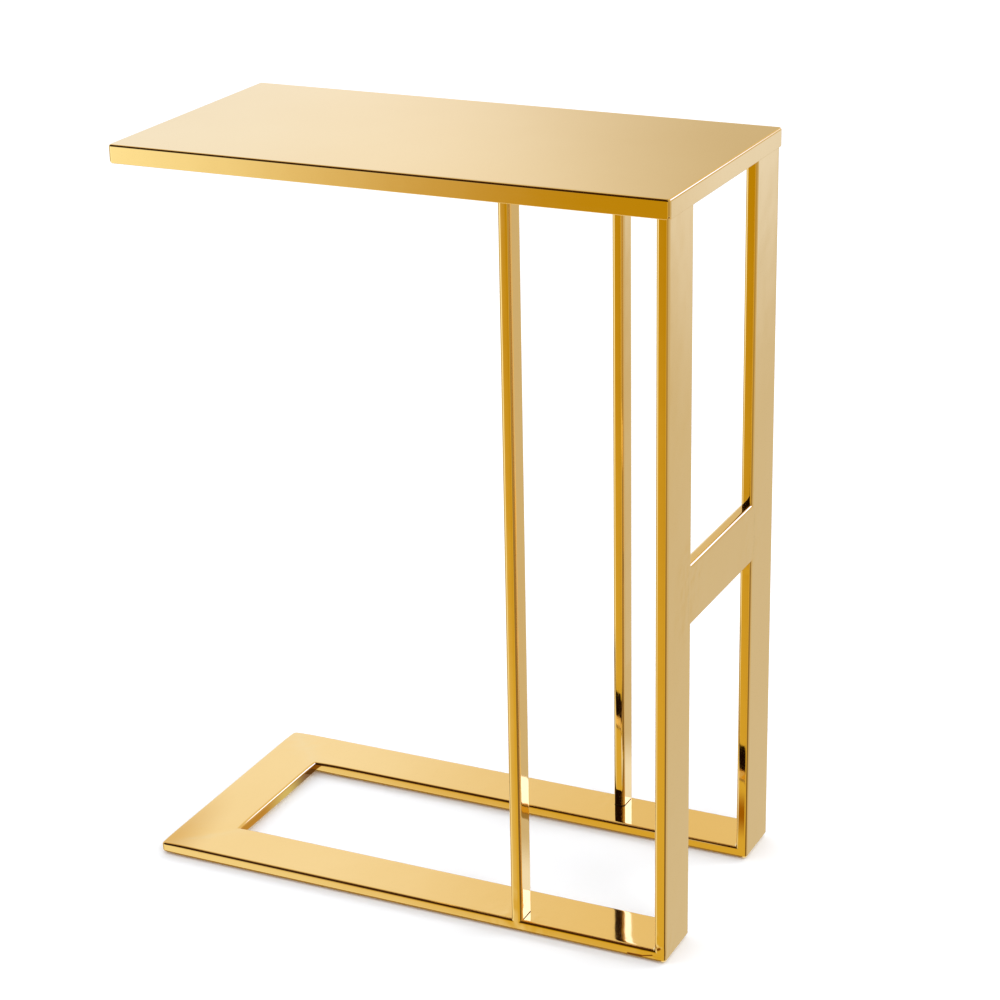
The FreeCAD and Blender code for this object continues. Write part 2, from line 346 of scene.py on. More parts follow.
goldFinish = {
    "colour": (0.95, 0.71, 0.32),
    "deeper": (0.93, 0.68, 0.29),
    "cloudScale": 5.0,
    "cloudRange": (0.35, 0.65),
    "roughness": (0.03, 0.07),
    "waveScale": 9.0,
    "waveHeight": 0.26 * mm,
    "rippleScale": 38.0,
    "rippleHeight": 0.06 * mm,
    "peelScale": 240.0,
    "peelHeight": 0.0012 * mm,
    "streakScale": 900.0,
    "streakRange": (0.3, 0.7),
    "streakStretch": 0.02,
    "hairScale": 2600.0,
    "hairHeight": 0.00006 * mm,
    "jointReach": (0.010, 0.038),    # ground by hand this near to a weld, in metres
    "jointScale": 85.0,
    "jointHeight": 0.26 * mm,
    "hollowReach": (0.003, 0.0075),  # the inside corner beside an outer upright, ground with a small wheel
    "hollowStretch": (0.45, 1.0, 1.0),
    "hollowSide": (0.1157, 0.1168),
    "hollowHeight": 0.12 * mm,
    "wobble": 6.0 * mm,
    "wobbleScale": 210.0,
}
# painted shade: a darker amber patch on the flat at the front left corner, longer along the left rail,
# standing in for the darker reflection of the ground mitre
paintedCornerShade = {
    "corner": (-0.232, -0.117, 0.0115),
    "stretch": (1.0, 0.35, 1.0),
    "reach": (0.003, 0.042),
    "flat": (0.0091, 0.0097),
    "colour": (0.76, 0.47, 0.135),
}
# painted reflection: dark brown strokes around the weld at the front right foot, standing in for the dark
# reflections of its ground dents: ends and half width
paintedReflectionStrokes = [
    {"ends": ((0.2000, -0.117, 0.0040), (0.2115, -0.117, 0.0043)), "width": 1.3 * mm},
    {"ends": ((0.2115, -0.117, 0.0043), (0.2205, -0.117, 0.0066)), "width": 0.85 * mm},
    {"ends": ((0.2255, -0.117, 0.0128), (0.2268, -0.117, 0.0138)), "width": 1.7 * mm},
    {"ends": ((0.2228, -0.117, 0.0190), (0.2242, -0.117, 0.0140)), "width": 0.6 * mm},
]
paintedReflectionColour = (0.26, 0.085, 0.012)
insideCorners = [(0.2245, -0.118, 0.0102), (0.2245, 0.118, 0.0102)]
weldedCorners = [(x, side * y, z) for side in (-1, 1) for x, y, z in (
    (0.232, 0.117, 0.006),
    (0.1027, 0.117, 0.0115),
    (-0.207, 0.092, 0.0115),
    (0.232, 0.067, 0.282),
    (0.232, 0.067, 0.313),
)]


def least(values):
    lowest = values[0]
    for value in values[1:]:
        lowest = calc("MINIMUM", lowest, value)
    return lowest


def handGround(place, finish):
    # lumps that fade out with the distance from the nearest weld
    away = least([vectorCalc("DISTANCE", place, corner) for corner in weldedCorners])
    return times(noise(place, finish["jointScale"], 1.0), eased(away, *finish["jointReach"], 1.0, 0.0))


def wheelHollow(place, finish):
    wobble = times(minus(noise(place, finish["wobbleScale"], 1.0), 0.5), finish["wobble"])
    gaps = [vectorCalc("SUBTRACT", place, corner) for corner in insideCorners]
    gaps = [vectorCalc("MULTIPLY", gap, finish["hollowStretch"]) for gap in gaps]
    away = least([vectorCalc("LENGTH", gap) for gap in gaps])
    outside = mapped(calc("ABSOLUTE", parts(place)[1]), *finish["hollowSide"])
    return times(eased(plus(away, wobble), *finish["hollowReach"]), outside)


def reflectionStrokeShare(place):
    # one along the painted reflection strokes, fading to zero beside them
    total = None
    for mark in paintedReflectionStrokes:
        first, second = [Vector(end) for end in mark["ends"]]
        run = second - first
        fromFirst = vectorCalc("SUBTRACT", place, first)
        along = calc("DIVIDE", vectorCalc("DOT_PRODUCT", fromFirst, run), run.length_squared)
        gap = vectorCalc("DISTANCE", fromFirst, scaled(run, mapped(along, 0.0, 1.0)))
        share = eased(gap, 0.25 * mark["width"], mark["width"], 1.0, 0.0)
        total = calc("MAXIMUM", total, share) if total else share
    return total


def cornerShadeShare(place, tint):
    # how much painted corner shade: near the front left corner, and on the flat only
    gap = vectorCalc("MULTIPLY", vectorCalc("SUBTRACT", place, tint["corner"]), tint["stretch"])
    near = eased(vectorCalc("LENGTH", gap), *tint["reach"], 1.0, 0.0)
    return times(near, mapped(parts(place)[2], *tint["flat"]))


def makeGold(name, along, finish, waviness=1.0, shade=None):
    # slow waves and ripples in the metal, orange peel, fine polishing lines and hand grinding near the welds;
    # painted shade and painted reflections are mixed into the colour near the front corners and, where given,
    # on the left rail's inner side
    material, shader = newFinish(name, 1.0)
    place = objectPlace(material.node_tree)
    drawn = stretched(place, [finish["streakStretch"] if axis == along else 1.0 for axis in "xyz"])
    clouds = mapped(noise(place, finish["cloudScale"], 4.0), *finish["cloudRange"])
    colour = mixed(clouds, finish["deeper"], finish["colour"])
    if shade:
        x, y, z = parts(place)
        inner = times(mapped(x, *shade["across"]), mapped(z, *shade["down"]))
        warm = mixed(eased(y, *shade["paleward"]), shade["colour"], shade["paleColour"])
        warm = mixed(eased(y, *shade["cornerward"]), warm, shade["cornerColour"])
        colour = mixed(inner, colour, warm)
    # painted shade at the front left corner, then painted dark reflections at the front right foot
    colour = mixed(cornerShadeShare(place, paintedCornerShade), colour, paintedCornerShade["colour"])
    colour = mixed(reflectionStrokeShare(place), colour, paintedReflectionColour)
    layers = {
        "wave": noise(place, finish["waveScale"], 1.0),
        "ripple": noise(place, finish["rippleScale"], 1.0),
        "joint": handGround(place, finish),
        "hollow": wheelHollow(place, finish),
        "peel": noise(place, finish["peelScale"], 1.0),
        "hair": noise(drawn, finish["hairScale"], 1.0),
    }
    shape = None
    for layer, height in layers.items():
        distance = finish[layer + "Height"] * (waviness if layer in ("wave", "ripple") else 1.0)
        shape = bump(height, distance, shape)
    streaks = noise(drawn, finish["streakScale"])
    roughness = mapped(streaks, *finish["streakRange"], *finish["roughness"])
    feed(shader, {"Base Color": colour, "Roughness": roughness, "Normal": shape})
    return material


# the inner side of the left rail stands so near the floor that it only mirrors the rail's own warm shadow
leftRailShade = {
    "across": (-0.1834, -0.1824),
    "down": (0.0112, 0.0085),
    "paleward": (-0.032, 0.012),
    "cornerward": (0.014, 0.052),
    "colour": (0.77, 0.37, 0.02),
    "paleColour": (0.98, 0.78, 0.24),
    "cornerColour": (0.30, 0.15, 0.06),
}

crevice = {
    "colour": (0.045, 0.03, 0.018),
    "brighter": (0.12, 0.075, 0.035),
    "roughness": 0.6,
    "patchScale": 420.0,
    "patchRange": (0.4, 0.6),
    "patchHeight": 0.02 * mm,
}


def makeCrevice(settings):
    # the root of a weld, which the polishing wheel can't reach
    material, shader = newFinish("goldCrevice", 1.0)
    place = objectPlace(material.node_tree)
    patches = mapped(noise(place, settings["patchScale"], 3.0), *settings["patchRange"])
    colour = mixed(patches, settings["colour"], settings["brighter"])
    shape = bump(patches, settings["patchHeight"])
    feed(shader, {"Base Color": colour, "Roughness": settings["roughness"], "Normal": shape})
    return material


# how strong the metal's slow waves are
waves = {"x": 1.0, "y": 1.0, "z": 1.6, "leftRail": 1.0, "tray": 0.45, "weld": 1.4}
goldFor = {axis: makeGold("goldAlong" + axis.upper(), axis, goldFinish, waves[axis]) for axis in "xyz"}
leftRailGold = makeGold("goldLeftRail", "y", goldFinish, waves["leftRail"], leftRailShade)
trayGold = makeGold("goldTray", "x", goldFinish, waves["tray"])
weldGold = makeGold("goldWeld", "x", goldFinish, waves["weld"])
creviceGold = makeCrevice(crevice)
print("gold mixed")


# Finishes that only show from below

hiddenFinishes = {
    "board": {"dark": (0.2, 0.13, 0.075), "light": (0.5, 0.37, 0.24), "fibres": 520.0, "mottle": 28.0,
              "toneRange": (0.45, 0.72), "specks": 760.0, "speckRange": (0.68, 0.72), "roughness": 0.88,
              "height": 0.12 * mm},
    "zinc": {"dark": (0.56, 0.57, 0.6), "light": (0.8, 0.81, 0.82), "spangle": 900.0, "roughness": 0.32,
             "height": 0.004 * mm},
    "nylon": {"dark": (0.74, 0.73, 0.69), "light": (0.86, 0.85, 0.82), "grain": 1500.0, "cast": 160.0,
              "roughness": (0.5, 0.68), "height": 0.015 * mm, "softness": 0.12, "depth": 0.8 * mm},
}


def makeBoard(finish):
    # pressed fibres, mottled, with a few dark specks
    material, shader = newFinish("rawFibreboard")
    place = objectPlace(material.node_tree)
    long = noise(stretched(place, (0.25, 1.0, 1.0)), finish["fibres"], 5.0, 0.65)
    wide = noise(stretched(place, (1.0, 0.3, 1.0)), finish["fibres"] * 0.8, 5.0, 0.65)
    fibres, mottle = calc("MAXIMUM", long, wide), noise(place, finish["mottle"], 4.0)
    tone = mapped(plus(times(fibres, 0.75), times(mottle, 0.35)), *finish["toneRange"])
    specks = mapped(noise(place, finish["specks"], 1.0), *finish["speckRange"])
    speckColour = tuple(0.5 * part for part in finish["dark"])
    colour = mixed(specks, mixed(tone, finish["dark"], finish["light"]), speckColour)
    shape = bump(fibres, finish["height"])
    feed(shader, {"Base Color": colour, "Roughness": finish["roughness"], "Normal": shape})
    return material


def makeZinc(finish):
    # bright plating with a faint spangle
    material, shader = newFinish("zincPlate", 1.0)
    tree = material.node_tree
    place = objectPlace(tree)
    cells = addNode(tree, "ShaderNodeTexVoronoi", {"Vector": place, "Scale": finish["spangle"]})
    tone = output(tree, "ShaderNodeSeparateColor", {0: cells.outputs["Color"]})
    fine = noise(place, finish["spangle"] * 3, 3.0)
    share = plus(times(tone, 0.6), times(fine, 0.4))
    roughness = mapped(share, 0.0, 1.0, finish["roughness"], finish["roughness"] * 0.6)
    colour = mixed(share, finish["dark"], finish["light"])
    feed(shader, {"Base Color": colour, "Roughness": roughness, "Normal": bump(fine, finish["height"])})
    return material


def makeNylon(finish):
    # moulded nylon with a fine spark-eroded grain and scuffs
    material, shader = newFinish("naturalNylon")
    place = objectPlace(material.node_tree)
    cast = noise(place, finish["cast"], 3.0)
    colour = mixed(mapped(cast, 0.35, 0.65), finish["dark"], finish["light"])
    roughness = mapped(cast, 0.3, 0.7, *finish["roughness"])
    grain = bump(noise(place, finish["grain"]), finish["height"])
    feed(shader, {"Base Color": colour, "Roughness": roughness, "Normal": grain})
    feed(shader, {"Subsurface Weight": finish["softness"], "Subsurface Scale": finish["depth"]})
    return material


boardFinish = makeBoard(hiddenFinishes["board"])
zincFinish = makeZinc(hiddenFinishes["zinc"])
nylonFinish = makeNylon(hiddenFinishes["nylon"])
print("hidden finishes mixed")


# Meshes with exact normals, so that a mirror finish shows no facets

def facedOutward(points, faces, corners):
    # a closed shape that is inside out has its faces and their corners' normals turned round
    volume = 0.0
    for face in faces:
        first = points[face[0]]
        for second, third in zip(face[1:], face[2:]):
            volume += first.dot(points[second].cross(points[third]))
    if volume >= 0:
        return faces, corners
    turned, start = [], 0
    for face in faces:
        turned.extend(corners[start:start + len(face)][::-1])
        start += len(face)
    return [face[::-1] for face in faces], turned


def makeMesh(name, points, faces, corners, materials, darkFaces=()):
    # corners holds one direction for each corner of each face
    faces, corners = facedOutward(points, faces, corners)
    mesh = bpy.data.meshes.new(name)
    mesh.from_pydata(points, [], faces)
    mesh.polygons.foreach_set("use_smooth", [True] * len(mesh.polygons))
    for material in materials:
        mesh.materials.append(material)
    for index in darkFaces:
        mesh.polygons[index].material_index = 1
    mesh.normals_split_custom_set(corners)
    mesh.update()
    return linked(name, mesh)


def dress(piece, nodes):
    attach(piece, "root")
    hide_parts(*nodes)


# Bars: square tube with rounded edges and slightly bowed faces, cut to a mitre where it turns a corner

barSettings = {
    "edgeRadius": 2.5 * mm,
    "edgeSteps": 8,
    "faceBow": 1.2,             # degrees that a face leans beside its edges
    "bowReach": 3.0 * mm,
    "bowSteps": 4,
    "turnSteps": 6,
    "rollLean": 4.2,            # degrees that grinding leans the flats at a mitred corner
    "rollReach": 34.0 * mm,
    "rollSteps": 6,
    "grooveDepth": 0.35 * mm,
    "grooveHeight": 0.7 * mm,
    "grooveDark": 1.3,          # edge radii from the outer edge where the groove turns dark
    "mitreWidth": 0.01 * mm,
}
# axes gives the run, the side across it and the thickness; an end gives its cut and corner radius in mm
flatEnd, edgeEnd = ("u", 4.2), ("v", 3.2)
baseRail = {"axes": "xyz", "start": flatEnd, "end": edgeEnd}
outerUpright = {"axes": "zyx", "start": edgeEnd}
innerUpright = {"axes": "zyx", "groove": True, "look": {"edgeRadius": 2.9 * mm}}
bars = [
    {"name": "frontBaseRail", "node": "base_rail_front", **baseRail},
    {"name": "backBaseRail", "node": "base_rail_back", "flip": "y", **baseRail},
    {"name": "leftBaseRail", "node": "base_rail_left", "axes": "yxz", "start": flatEnd, "end": flatEnd,
     "gold": leftRailGold},
    {"name": "frontOuterUpright", "node": "upright_outer_front", "flip": "x", **outerUpright},
    {"name": "backOuterUpright", "node": "upright_outer_back", "flip": "xy", **outerUpright},
    {"name": "frontInnerUpright", "node": "upright_inner_front", **innerUpright},
    {"name": "backInnerUpright", "node": "upright_inner_back", "flip": "y", **innerUpright},
    {"name": "handleBar", "node": "handle_bar", "axes": "yzx"},
]


def faceBow(length, settings):
    # how far in from its edges a face leans, and how far its edges stand back
    reach = min(settings["bowReach"], length / 2 - settings["edgeRadius"])
    return reach, math.radians(settings["faceBow"]) * reach / 3


def edgeShape(sideLength, flatLength, settings):
    # the bows of the side and of the flat, and how far in from each the edge's arc has its centre
    side, flat = faceBow(sideLength, settings), faceBow(flatLength, settings)
    arc = settings["edgeRadius"] * math.cos(math.radians(settings["faceBow"]))
    return side, flat, side[1] + arc, flat[1] + arc


def toward(angle):
    return Vector((math.cos(angle), math.sin(angle)))


def barSection(width, thickness, settings):
    # points round the tube, each with its outward direction
    radius, lean = settings["edgeRadius"], math.radians(settings["faceBow"])
    side, flat, cu, cv = edgeShape(thickness, width, settings)
    farU, farV = width - cu, thickness - cv
    centres = [Vector(place) for place in ((cu, cv), (farU, cv), (farU, farV), (cu, farV))]
    section = []
    for corner, centre in enumerate(centres):
        first = math.radians(180 + 90 * corner)
        for step in range(settings["edgeSteps"] + 1):
            angle = first + lean + (math.pi / 2 - 2 * lean) * step / settings["edgeSteps"]
            section.append((centre + radius * toward(angle), toward(angle)))
        reach, back = side if corner % 2 else flat
        face, travel = first + math.pi / 2, toward(first + math.pi)
        leaving = section[-1][0]
        arriving = centres[(corner + 1) % 4] + radius * toward(face + lean)
        near, far = [], []
        for step in range(1, settings["bowSteps"] + 1):
            left = 1 - step / settings["bowSteps"]
            rise = toward(face) * back * (1 - left ** 3)
            run = travel * reach * (1 - left)
            near.append((leaving + run + rise, toward(face - lean * left ** 2)))
            far.append((arriving - run + rise, toward(face + lean * left ** 2)))
        section.extend(near + far[::-1])
    return section


def edgeDrop(depth, faceLength, flatLength, settings):
    # how far below its flat a tube's surface lies at a depth in from the face beside it, and its lean there
    radius, lean = settings["edgeRadius"], math.radians(settings["faceBow"])
    (faceReach, faceBack), (flatReach, flatBack), cu, cv = edgeShape(faceLength, flatLength, settings)
    if depth <= faceBack:
        left = max(0.0, depth / faceBack) ** (1 / 3)
        return cv - radius * math.sin(lean) + faceReach * (1 - left), lean * left ** 2
    if depth < cu - radius * math.sin(lean):
        angle = math.acos((cu - depth) / radius)
        return cv - radius * math.sin(angle), angle
    left = max(0.0, 1 - (depth - cu + radius * math.sin(lean)) / flatReach)
    return flatBack * left ** 3, math.pi / 2 - lean * left ** 2


def barEnd(place, outward, end, thickness, settings, side):
    # places along one end for a point of the section: run in from the end, u, v and the normal
    u, v = place
    nu, nv = outward
    if not end:
        return [(0.0, u, v, (0.0, nu, nv))]
    by, turn = end[0], end[1] * mm
    inset, facing = (u, nu) if by == "u" else (v, nv)
    places = []
    if inset >= turn:
        places.append((inset, u, v, (0.0, nu, nv)))
    else:
        for step in range(settings["turnSteps"] + 1):
            angle = math.radians(45 * (1 - step / settings["turnSteps"]))
            run = turn - (turn - inset) * math.sin(angle)
            back = turn - (turn - inset) * math.cos(angle)
            tip, rest = side * facing * math.sin(angle), facing * math.cos(angle)
            places.append((run, back, v, (tip, rest, nv)) if by == "u" else (run, u, back, (tip, nu, rest)))
    if by == "v":
        return places
    run, back = places[-1][:2]
    reach, lean, steps = settings["rollReach"], math.radians(settings["rollLean"]), settings["rollSteps"]
    places += [(run + reach * k / steps, back, v, (0.0, nu, nv)) for k in range(1, steps + 1)]
    rolled = []
    for at, u, v, (tip, nu, nv) in places:
        left = max(0.0, 1 - max(0.0, at - inset) / reach)
        squeeze = 1 - 2 * lean * reach / 3 * left ** 3 / thickness
        v = thickness / 2 + (v - thickness / 2) * squeeze
        # both bars share the direction on the mitre itself
        shared = 0.5 if at <= inset + settings["mitreWidth"] else 0.0
        leaning = lean * left ** 2 * abs(outward[1])
        rolled.append((at, u, v, (tip - side * leaning * (1 - shared), nu - leaning * shared, nv)))
    return rolled


def placeBar(bar):
    # the bar's box, reaching to the frame's corners where it is mitred, as an origin, directions and sizes
    low, high = [Vector(corner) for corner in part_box(bar["node"])]
    run = "xyz".index(bar["axes"][0])
    if bar.get("start"):
        low[run] = frameLow[run]
    if bar.get("end"):
        high[run] = frameHigh[run]
    origin, directions, sizes = Vector(low), [], []
    for name in bar["axes"]:
        index = "xyz".index(name)
        flipped = name in bar.get("flip", "")
        sizes.append(high[index] - low[index])
        directions.append(-axes[name] if flipped else axes[name])
        if flipped:
            origin[index] = high[index]
    return origin, directions, sizes


def grooved(place, outward, settings):
    # the thin line that stays open where an inner upright stands on the rail, deeper away from its outer edge
    radius, height = settings["edgeRadius"], settings["grooveHeight"]
    share = min(1.0, max(0.02, (place[0] - radius) / radius))
    deep = place - outward * settings["grooveDepth"] * share
    rest = (0.0, *outward)
    return [(0.0, *deep, rest), (height, *deep, rest), (height, *place, rest)]


def makeBar(bar, common):
    settings = {**common, **bar.get("look", {})}
    groove = bar.get("groove")
    origin, (along, across, over), (length, width, thickness) = placeBar(bar)
    start, end = bar.get("start"), bar.get("end")
    points, normals, rows = [], [], []
    for place, outward in barSection(width, thickness, settings):
        starts = barEnd(place, outward, start, thickness, settings, 1)
        ends = barEnd(place, outward, end, thickness, settings, -1)
        if groove:
            starts = grooved(place, outward, settings)
        row = []
        late = [(length - run, u, v, normal) for run, u, v, normal in reversed(ends)]
        for run, u, v, normal in starts + late:
            row.append(len(points))
            points.append(origin + along * run + across * u + over * v)
            normals.append((along * normal[0] + across * normal[1] + over * normal[2]).normalized())
        rows.append((row, len(starts), len(ends)))
    faces, corners, dark = [], [], []

    def addFace(loop, direction=None):
        faces.append(loop)
        corners.extend([direction] * len(loop) if direction else [normals[i] for i in loop])

    for (row, starts, ends), (nextRow, nextStarts, nextEnds) in zip(rows, rows[1:] + rows[:1]):
        # where a rounded corner begins, one row has more places than the next, and a wide face joins them
        extraHere, extraNext = max(0, starts - nextStarts), max(0, nextStarts - starts)
        lateHere, lateNext = max(0, ends - nextEnds), max(0, nextEnds - ends)
        if extraHere or extraNext:
            addFace(row[:extraHere + 1][::-1] + nextRow[:extraNext + 1])
        inward = (points[row[-1]] - origin).dot(across)
        here, after = row[extraHere:len(row) - lateHere], nextRow[extraNext:len(nextRow) - lateNext]
        for k in range(len(here) - 1):
            if groove and k < 2 and inward > settings["grooveDark"] * settings["edgeRadius"]:
                dark.append(len(faces))
            addFace([here[k], after[k], after[k + 1], here[k + 1]], -along if groove and k == 1 else None)
        if lateHere or lateNext:
            addFace(row[len(row) - lateHere - 1:][::-1] + nextRow[len(nextRow) - lateNext - 1:])
    tips = {None: Vector((0, 0, 0)), "u": across, "v": over}
    addFace([row[0] for row, starts, ends in rows][::-1], (tips[start and start[0]] - along).normalized())
    addFace([row[-1] for row, starts, ends in rows], (tips[end and end[0]] + along).normalized())
    gold = bar.get("gold", goldFor[bar["axes"][0]])
    piece = makeMesh(bar["name"], points, faces, corners, [gold, creviceGold], dark)
    dress(piece, [bar["node"]])


frameBoxes = [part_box(bar["node"]) for bar in bars if bar.get("start")]
frameLow = Vector([min(low[k] for low, high in frameBoxes) for k in range(3)])
frameHigh = Vector([max(high[k] for low, high in frameBoxes) for k in range(3)])
for bar in bars:
    makeBar(bar, barSettings)
print("bars made:", len(bars))


# Ground welds: where a tube ends flush on another, the weld fills the notch over that tube's rounded edge

weldSettings = {
    "rows": 8,
    "reach": 3.2 * mm,
    "thinnest": 0.004 * mm,
    "beadRadius": 2.0 * mm,
    "beadSteps": 7,
    "beadStations": 46,
    "beadThin": 0.45,           # the size of its ends beside that of its middle
    "beadSink": 0.55,
    "beadLumps": 0.3,
    "beadSwings": ((1310, 0.0, 0.5), (2290, 1.3, 0.3), (3730, 0.4, 0.2)),
    "beadTaper": 7.0 * mm,
    "beadEnd": 0.5 * mm,
    "beadRoot": 1.0 * mm,
}

# flush names the section side that runs on over the weld; face and flat are the other tube's sizes in mm
flushJoints = [
    {"bar": "frontInnerUpright", "end": 1, "flush": "u", "face": 10, "flat": 50},
    {"bar": "backInnerUpright", "end": 1, "flush": "u", "face": 10, "flat": 50},
]
for end in (1, -1):
    for flush in ("v", "far v"):
        flushJoints.append({"bar": "handleBar", "end": end, "flush": flush, "face": 50, "flat": 10})


def makeCurtain(joint, settings):
    # points, faces and corner normals of one weld filling
    bar = next(bar for bar in bars if bar["name"] == joint["bar"])
    origin, (along, across, over), (length, width, thickness) = placeBar(bar)
    look = {**barSettings, **bar.get("look", {})}
    into = -along * joint["end"]
    base = origin if joint["end"] > 0 else origin + along * length
    outward = {"u": -across, "v": -over, "far v": over}[joint["flush"]]
    section = []
    for place, normal in barSection(width, thickness, look):
        depth = {"u": place.x, "v": place.y, "far v": thickness - place.y}[joint["flush"]]
        below, lean = edgeDrop(max(depth, 0.0), joint["face"] * mm, joint["flat"] * mm, barSettings)
        point = base + across * place.x + over * place.y
        bent = outward * math.cos(lean) - into * math.sin(lean)
        kept = depth < settings["reach"] and below > settings["thinnest"]
        section.append((point, across * normal.x + over * normal.y, below, bent, kept))
    first = [k for k in range(len(section)) if section[k][4] and not section[k - 1][4]][0]
    strip = []
    while section[first % len(section)][4]:
        strip.append(section[first % len(section)])
        first += 1
    points, faces, normals, rows = [], [], [], settings["rows"]
    for point, normal, below, bent, kept in strip:
        for k in range(rows + 1):
            share = k / rows
            ease = share * share * (3 - 2 * share)
            points.append(point + into * below * share)
            normals.append((normal * (1 - ease) + bent * ease).normalized())
    for k in range(len(strip) - 1):
        for j in range(rows):
            a, b = k * (rows + 1) + j, (k + 1) * (rows + 1) + j
            faces.append([a, b, b + 1, a + 1])
    top = [k * (rows + 1) for k in range(len(strip))]
    bottom = [k * (rows + 1) + rows for k in range(len(strip))]
    last = len(strip) - 1
    corners = [normals[i] for face in faces for i in face]
    ends = [last * (rows + 1) + j for j in range(rows + 1)] + list(range(rows, -1, -1))
    for loop, direction in ((top[::-1], -into), (bottom, into), (ends, -outward)):
        faces.append(loop)
        corners.extend([direction] * len(loop))
    return points, faces, corners


def makeBead(side, settings):
    # a concave bead in the corner between base rail and outer upright; side is -1 at the front, 1 at the back
    low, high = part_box("upright_outer_front" if side < 0 else "upright_outer_back")
    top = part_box("upright_inner_front")[0].z
    corner, stations, steps = low.x, settings["beadStations"], settings["beadSteps"]
    ending, root, thin = settings["beadEnd"], settings["beadRoot"], settings["beadThin"]
    points, normals, faces = [], [], []
    for station in range(stations + 1):
        y = low.y + ending + (high.y - low.y - 2 * ending) * station / stations
        edge = min(y - low.y, high.y - y)
        fade = min(1.0, edge / settings["beadTaper"])
        wobble = sum(math.sin(y * rate + start) * share for rate, start, share in settings["beadSwings"])
        size = settings["beadRadius"] * (thin + (1 - thin) * fade)
        size *= 1 + settings["beadLumps"] * wobble * fade
        sink = edgeDrop(edge, 10 * mm, 50 * mm, barSettings)[0] * settings["beadSink"]
        points.append(Vector((corner + root, y, top - root)))
        normals.append(Vector((0, side, 0)))
        for step in range(steps + 1):
            angle = math.radians(90 * step / steps)
            out = Vector((math.cos(angle), 0, -math.sin(angle)))
            points.append(Vector((corner - size + sink, y, top + size - sink)) + out * size)
            normals.append(-out)
    ring = steps + 2
    for station in range(stations):
        for k in range(ring):
            a, b = station * ring + k, station * ring + (k + 1) % ring
            faces.append([a, b, b + ring, a + ring])
    corners = [normals[i] for face in faces for i in face]
    lastRing = [stations * ring + k for k in range(ring)]
    for loop, direction in ((list(range(ring)), -axes["y"]), (lastRing[::-1], axes["y"])):
        faces.append(loop)
        corners.extend([direction] * ring)
    return points, faces, corners


def makeWelds(settings):
    points, faces, corners = [], [], []
    shells = [makeCurtain(joint, settings) for joint in flushJoints]
    shells += [makeBead(side, settings) for side in (-1, 1)]
    for shellPoints, shellFaces, shellCorners in shells:
        shellFaces, shellCorners = facedOutward(shellPoints, shellFaces, shellCorners)
        faces.extend([[i + len(points) for i in face] for face in shellFaces])
        points.extend(shellPoints)
        corners.extend(shellCorners)
    dress(makeMesh("groundWelds", points, faces, corners, [weldGold]), ["ground_welds"])


makeWelds(weldSettings)
print("welds ground")


# Geometry Nodes helpers: a tree with named inputs, run once and kept as a plain mesh

socketKinds = {int: "Int", float: "Float", tuple: "Vector", bpy.types.Material: "Material"}


def geometry(tree, kind, inputs=None, options=None):
    return output(tree, "GeometryNode" + kind, inputs, options)


def startTree(name, values):
    tree = bpy.data.node_groups.new(name, "GeometryNodeTree")
    tree.interface.new_socket("Geometry", in_out="OUTPUT", socket_type="NodeSocketGeometry")
    for label, value in values.items():
        tree.interface.new_socket(label, in_out="INPUT", socket_type="NodeSocket" + socketKinds[type(value)])
    return tree, addNode(tree, "NodeGroupInput").outputs


def joined(tree, *shapes):
    node = addNode(tree, "GeometryNodeJoinGeometry")
    for shape in shapes:
        tree.links.new(shape, node.inputs[0])
    return node.outputs[0]


def endTree(tree, shape, material):
    plain = geometry(tree, "RealizeInstances", {0: shape})
    painted = geometry(tree, "SetMaterial", {0: plain, 2: material})
    addNode(tree, "NodeGroupOutput", {0: painted})


def growMesh(name, tree, values):
    holder = linked(name, bpy.data.meshes.new(name + "Empty"))
    modifier = holder.modifiers.new("grow", "NODES")
    modifier.node_group = tree
    for item in tree.interface.items_tree:
        if item.in_out == "INPUT":
            modifier[item.identifier] = values[item.name]
    ready = holder.evaluated_get(bpy.context.evaluated_depsgraph_get())
    grown = bpy.data.meshes.new_from_object(ready)
    holder.modifiers.remove(modifier)
    holder.data = grown
    grown.name = name
    return holder


def tidyMesh(piece, sharpAngle=None):
    # faces turned outward, stray edges gone and edges over the angle kept sharp
    shape = bmesh.new()
    shape.from_mesh(piece.data)
    stray = [edge for edge in shape.edges if not edge.link_faces]
    bmesh.ops.delete(shape, geom=stray, context="EDGES")
    bmesh.ops.recalc_face_normals(shape, faces=shape.faces)
    for face in shape.faces:
        face.smooth = True
    if sharpAngle:
        for edge in shape.edges:
            edge.smooth = len(edge.link_faces) == 2 and edge.calc_face_angle() < math.radians(sharpAngle)
    shape.to_mesh(piece.data)
    shape.free()


# The folded tray on top: a sheet profile carried round the plan, closed by a flat sheet above and below

trayLow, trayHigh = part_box("top_tray")
tray = {
    "Length": trayHigh.x - trayLow.x,
    "Depth": trayHigh.y - trayLow.y,
    "Height": trayHigh.z - trayLow.z,
    "Base": trayLow.z,
    "Sheet": 1.2 * mm,
    "Bend radius": 2.0 * mm,
    "Corner radius": 3.0 * mm,
    "Lip radius": 0.5 * mm,
    "Bend steps": 10,
    "Corner steps": 12,
    "Corner ease": 2.2 * mm,
    "Ease falloff": 1.6,
    "Merge reach": 0.002 * mm,
    "Finish": trayGold,
}


